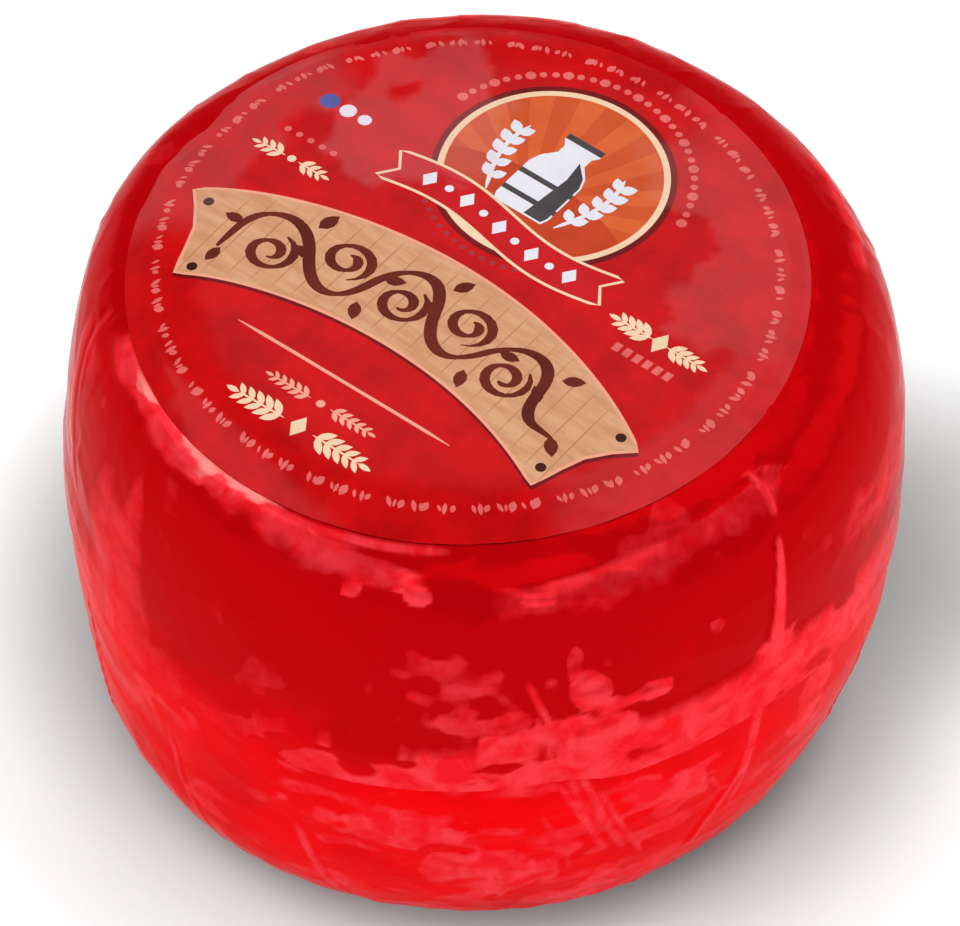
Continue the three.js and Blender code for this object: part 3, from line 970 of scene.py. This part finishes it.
# The printed outlines are cut into one sheet of triangles, each with the ink that lies on top there,
# because a circle that is extruded and inset can't follow so many outlines that cross.
GRID = 0.8  # between the points that let the sheet bend where no ink ends
corners = []
cut_faces = []
for _, shape in inks:
    cut_faces.append(list(range(len(corners), len(corners) + len(shape))))
    corners += [Vector(p) for p in shape]
rows = round(LABEL_RADIUS / GRID)
for row in range(-rows, rows + 1):
    for column in range(-rows, rows + 1):
        u = GRID * (column + 0.5 * (row % 2))
        v = GRID * row * 0.87
        if math.hypot(u, v) < LABEL_RADIUS - 0.5:
            corners.append(Vector((u, v)))
sheet, _, cuts, _, _, came_from = delaunay_2d_cdt(corners, [], cut_faces, 1, 1e-4)
ink_names = list(dict.fromkeys(ink for ink, _ in inks))
flat = np.array([turned_to_ball(p.x, p.y) for p in sheet])
x, y = flat[:, 0], flat[:, 1]
face_height = label_height(x, y)
count = len(sheet)
top_places = np.column_stack([flat, face_height])
under_places = np.column_stack([flat, face_height - LABEL_SHEET])
sides = dict.fromkeys((a, b) for cut in cuts for a, b in zip(cut, list(cut[1:]) + [cut[0]]))
faces = [list(cut) for cut in cuts]
faces += [[n + count for n in cut][::-1] for cut in cuts]
faces += [[b, a, a + count, b + count] for a, b in sides if (b, a) not in sides]
label_mesh = bpy.data.meshes.new("label")
label_mesh.from_pydata([tuple(p * MM) for p in np.vstack([top_places, under_places])], [], faces)
label = bpy.data.objects.new("label", label_mesh)
bpy.context.scene.collection.objects.link(label)
shown_ink = [ink_names.index(inks[max(origin)][0]) if origin else 0 for origin in came_from]
label_mesh.polygons.foreach_set("material_index", shown_ink + [0] * (len(faces) - len(cuts)))
label_mesh.polygons.foreach_set("use_smooth", [True] * len(faces))
label_mesh.update()

# A thin pale painted reflection lies over the print: in a patch at the upper left, at the upper
# right, and along the right and the left edge.
REFLECTION_STRENGTH = 0.12
read = np.array([(p.x, p.y, 0) for p in sheet])
out = np.hypot(read[:, 0], read[:, 1])
turn = np.degrees(np.arctan2(read[:, 1], read[:, 0]))
ragged = ripple(read, 7, 55) + 0.4 * ripple(read, 2.5, 56)
from_patch = np.hypot((read[:, 0] + 13.5) / 7.5, (read[:, 1] - 12.8) / 9.5)
reflection_patches = (
    smooth(1 - from_patch + 0.5 * ragged, 0, 0.12),
    0.7 * smooth(out + 4 * ragged, 19.5, 20.5) * smooth(turn + 9 * ragged, 16, 20)
    * smooth(9 * ragged - turn, -88, -80),
    0.45 * smooth(out + 1.5 * ragged, 25.2, 26.2) * span(turn, -42, -30, 20, 40),
    0.8 * smooth(out + 3 * ragged, 22.5, 24) * smooth(np.abs(turn), 148, 158),
)
mark = label_mesh.attributes.new("painted_reflection", "FLOAT", "POINT")
mark.data.foreach_set("value", np.tile(REFLECTION_STRENGTH * np.max(reflection_patches, axis=0), 2))

# Offset print on plastic film under a gloss laminate: even inks with a slight mottle, and a gloss,
# with a pale painted reflection over parts of it.
PRINT = {
    "red": ("#D2080C", "#B60508"), "shadow": ("#7C0E10", "#6A0A0C"), "rim_peach": ("#F4A88C", "#F0A084"),
    "board_wood": ("#DCA67E", "#CC9068"), "seam": ("#BC8058", "#C48A62"), "nail": ("#4A1C10", "#3C160C"),
    "brown": ("#6E2412", "#5C1A0C"), "dash_pink": ("#E8706A", "#DC5C58"), "dash_dim": ("#A83038", "#983038"),
    "rule_pink": ("#F2A890", "#EC9C84"), "cream": ("#F6D6B4", "#F0CCA8"), "orange": ("#DE6634", "#D65A2C"),
    "orange_deep": ("#C84420", "#BE3C1C"), "ray": ("#D2562A", "#CA4E22"), "grey": ("#4C4648", "#423C40"),
    "cool_white": ("#EAE8F0", "#E0DEE8"), "ribbon_red": ("#CC141C", "#C01018"),
    "blue": ("#3A5AA8", "#345098"),
}
WOOD_GRAIN = 1.1
INK_MOTTLE = 5.0
for ink in ink_names:
    light, dark = PRINT[ink]
    printed, tree, shader = new_material("print_" + ink)
    shader.inputs["IOR"].default_value = 1.5
    shader.inputs["Roughness"].default_value = 0.17
    shader.inputs["Specular IOR Level"].default_value = 0.07
    spot = node(tree, "ShaderNodeTexCoord")
    lie = node(tree, "ShaderNodeMapping", links={"Vector": spot.outputs["Object"]},
               values={"Rotation": (0, 0, -LABEL_TURN)})
    # The board's grain runs along it, 5 times as long as wide. Other inks only mottle.
    grain = node(tree, "ShaderNodeMapping", links={"Vector": lie.outputs["Vector"]},
                 values={"Scale": (0.2, 1, 1) if ink == "board_wood" else (1, 1, 1)})
    size = WOOD_GRAIN if ink == "board_wood" else INK_MOTTLE
    speck = node(tree, "ShaderNodeTexNoise", links={"Vector": grain.outputs["Vector"]},
                 values={"Scale": 1 / (size * MM), "Detail": 5.0, "Roughness": 0.62})
    tone = node(tree, "ShaderNodeValToRGB", links={"Fac": speck.outputs["Fac"]})
    tone.color_ramp.elements[0].position = 0.35
    tone.color_ramp.elements[1].position = 0.62
    tone.color_ramp.elements[0].color = linear(dark)
    tone.color_ramp.elements[1].color = linear(light)
    # A pale painted reflection over the print, as strong as the mark under it.
    painted_reflection = node(tree, "ShaderNodeAttribute", settings={"attribute_name": "painted_reflection"})
    print_with_reflection = node(tree, "ShaderNodeMix", settings={"data_type": "RGBA"},
                  links={"Factor": painted_reflection.outputs["Fac"], "A": tone.outputs["Color"]},
                  values={"B": linear("#D8989C")})
    tree.links.new(print_with_reflection.outputs["Result"], shader.inputs["Base Color"])
    label_mesh.materials.append(printed)

# The sheet's long thin triangles are shaded by the slope of its true surface.
SLOPE_STEP = 0.15
slope_x = (label_height(x + SLOPE_STEP, y) - label_height(x - SLOPE_STEP, y)) / (2 * SLOPE_STEP)
slope_y = (label_height(x, y + SLOPE_STEP) - label_height(x, y - SLOPE_STEP)) / (2 * SLOPE_STEP)
face_normals = np.column_stack([-slope_x, -slope_y, np.ones(count)])
face_normals /= np.linalg.norm(face_normals, axis=1)[:, None]
label_mesh.normals_split_custom_set_from_vertices(np.vstack([face_normals, -face_normals]).tolist())
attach(label, "root")
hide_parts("label")

# ---------------------------------------------------------------------------------------------
# The floor: a plain sheet of matte white studio card, laid flat under the ball. It glows away from
# the ball as a painted light, and is grey close to it as a painted shadow.
# ---------------------------------------------------------------------------------------------

GLOW_MIDDLE = Vector((2, 12, 0))  # the card glows outside a circle round this point
SHADE_MIDDLE = Vector((49, 18, 0))  # and less round this one, where the ball's shadow falls
FLOOR_SIZE = 3000
FLOOR_GAP = 0.02  # under the ball, so that the two faces don't coincide

bpy.ops.object.select_all(action="DESELECT")
bpy.ops.mesh.primitive_plane_add(size=FLOOR_SIZE * MM, location=(0, 0, -FLOOR_GAP * MM))
floor = bpy.context.object
floor.name = "studio_floor"
bpy.ops.object.transform_apply(location=True)
card, tree, shader = new_material("white_studio_card")
shader.inputs["Roughness"].default_value = 0.85
shader.inputs["Specular IOR Level"].default_value = 0.1
# Matte card, darker close to the ball as a painted shadow, and a little cooler there, which takes out
# the red that the ball throws on it.
spot = node(tree, "ShaderNodeTexCoord")
away = node(tree, "ShaderNodeVectorMath", settings={"operation": "DISTANCE"},
            links={0: spot.outputs["Object"]}, values={1: GLOW_MIDDLE * MM})
painted_light_ring = node(tree, "ShaderNodeMapRange", settings={"interpolation_type": "SMOOTHSTEP"},
            links={"Value": away.outputs["Value"]},
            values={"From Min": 35 * MM, "From Max": 53 * MM, "To Max": 0.42})
aside = node(tree, "ShaderNodeVectorMath", settings={"operation": "DISTANCE"},
             links={0: spot.outputs["Object"]}, values={1: SHADE_MIDDLE * MM})
painted_shadow_patch = node(tree, "ShaderNodeMapRange", settings={"interpolation_type": "SMOOTHSTEP"},
            links={"Value": aside.outputs["Value"]},
            values={"From Min": 6 * MM, "From Max": 28 * MM, "To Min": 0.35})
lit = node(tree, "ShaderNodeMath", settings={"operation": "MULTIPLY"},
           links={0: painted_light_ring.outputs["Result"], 1: painted_shadow_patch.outputs["Result"]})
from_ball = node(tree, "ShaderNodeVectorMath", settings={"operation": "LENGTH"},
                 links={0: spot.outputs["Object"]})
nearness = node(tree, "ShaderNodeMapRange", links={"Value": from_ball.outputs["Value"]},
                values={"From Min": 29 * MM, "From Max": 56 * MM})
tone = node(tree, "ShaderNodeValToRGB", links={"Fac": nearness.outputs["Result"]})
tone.color_ramp.interpolation = "EASE"
tone.color_ramp.elements[0].color = linear("#869E9E")
tone.color_ramp.elements[1].color = linear("#E4F0F0")
tone.color_ramp.elements.new(0.28).color = linear("#BAD0D0")
# The painted shadow patch also darkens the card's colour.
shade = node(tree, "ShaderNodeMapRange", links={"Value": painted_shadow_patch.outputs["Result"]},
             values={"From Min": 0.35, "To Min": 0.78})
toned = node(tree, "ShaderNodeVectorMath", settings={"operation": "SCALE"},
             links={0: tone.outputs["Color"], "Scale": shade.outputs["Result"]})
tree.links.new(toned.outputs[0], shader.inputs["Base Color"])
shader.inputs["Emission Color"].default_value = linear("#FFFFFF")
tree.links.new(lit.outputs[0], shader.inputs["Emission Strength"])
floor.data.materials.append(card)

# ---------------------------------------------------------------------------------------------
# The light: soft white panels round the ball, as on a small product table, and a pale room.
# ---------------------------------------------------------------------------------------------

LIGHT_AIM = 30  # height on the ball's axis that the panels face


def toward(azimuth, elevation):
    """A direction from degrees round and degrees up."""
    a, e = math.radians(azimuth), math.radians(elevation)
    return Vector((math.cos(e) * math.cos(a), math.cos(e) * math.sin(a), math.sin(e)))


def panel(name, first, last, distance, high, strength):
    """A soft light panel that faces the ball, so many metres away and high. Its long side runs from
    one direction to another, in degrees round and degrees up. Its strength is its own brightness."""
    aim = Vector((0, 0, LIGHT_AIM * MM))
    start = aim + distance * toward(*first)
    end = aim + distance * toward(*last)
    middle = (start + end) / 2
    bpy.ops.object.light_add(type="AREA")
    light = bpy.context.object
    light.name = name
    light.data.shape = "RECTANGLE"
    light.data.size = (end - start).length
    light.data.size_y = high
    light.data.energy = strength * light.data.size * high * math.pi
    light.visible_camera = False
    along = (end - start).normalized()
    back = (middle - aim).normalized()
    up = back.cross(along)
    light.matrix_world = Matrix.Translation(middle) @ Matrix((along, up, back)).transposed().to_4x4()


panel("panel_left", (212, 42), (152, 46), 1.0, 0.5, 2.9)
panel("panel_right", (-25, 55), (35, 55), 1.0, 0.6, 1.8)
panel("panel_front", (-108, 30), (-38, 30), 1.0, 0.3, 1.9)
panel("panel_back", (112, 54), (48, 44), 1.1, 0.5, 1.3)
panel("panel_low_right", (40, 14), (-10, 14), 0.9, 0.25, 1.7)
world = bpy.context.scene.world or bpy.data.worlds.new("studio")
bpy.context.scene.world = world
world.use_nodes = True
world.node_tree.nodes["Background"].inputs["Color"].default_value = linear("#E8E8E8")
world.node_tree.nodes["Background"].inputs["Strength"].default_value = 0.42

# ---------------------------------------------------------------------------------------------
# The camera: a long lens, looking down at 49 degrees on the front.
# ---------------------------------------------------------------------------------------------

LOOK_DOWN = math.radians(49.3)
ROLL = math.radians(1.726)
DISTANCE = 683.6
AIM_HEIGHT = 28.1
bpy.ops.object.camera_add()
camera = bpy.context.object
camera.name = "camera"
camera.data.lens = 280.7
camera.data.sensor_width = 36.0
camera.data.clip_start = 0.05
camera.data.shift_x = -0.0015
aim = Vector((0, 0, AIM_HEIGHT * MM))
place = aim - DISTANCE * MM * Vector((0, math.cos(LOOK_DOWN), -math.sin(LOOK_DOWN)))
camera.matrix_world = (Matrix.Translation(place) @ Matrix.Rotation(math.pi / 2 - LOOK_DOWN, 4, "X")
                       @ Matrix.Rotation(ROLL, 4, "Z"))
bpy.context.scene.camera = camera
bpy.context.scene.view_settings.view_transform = "Standard"
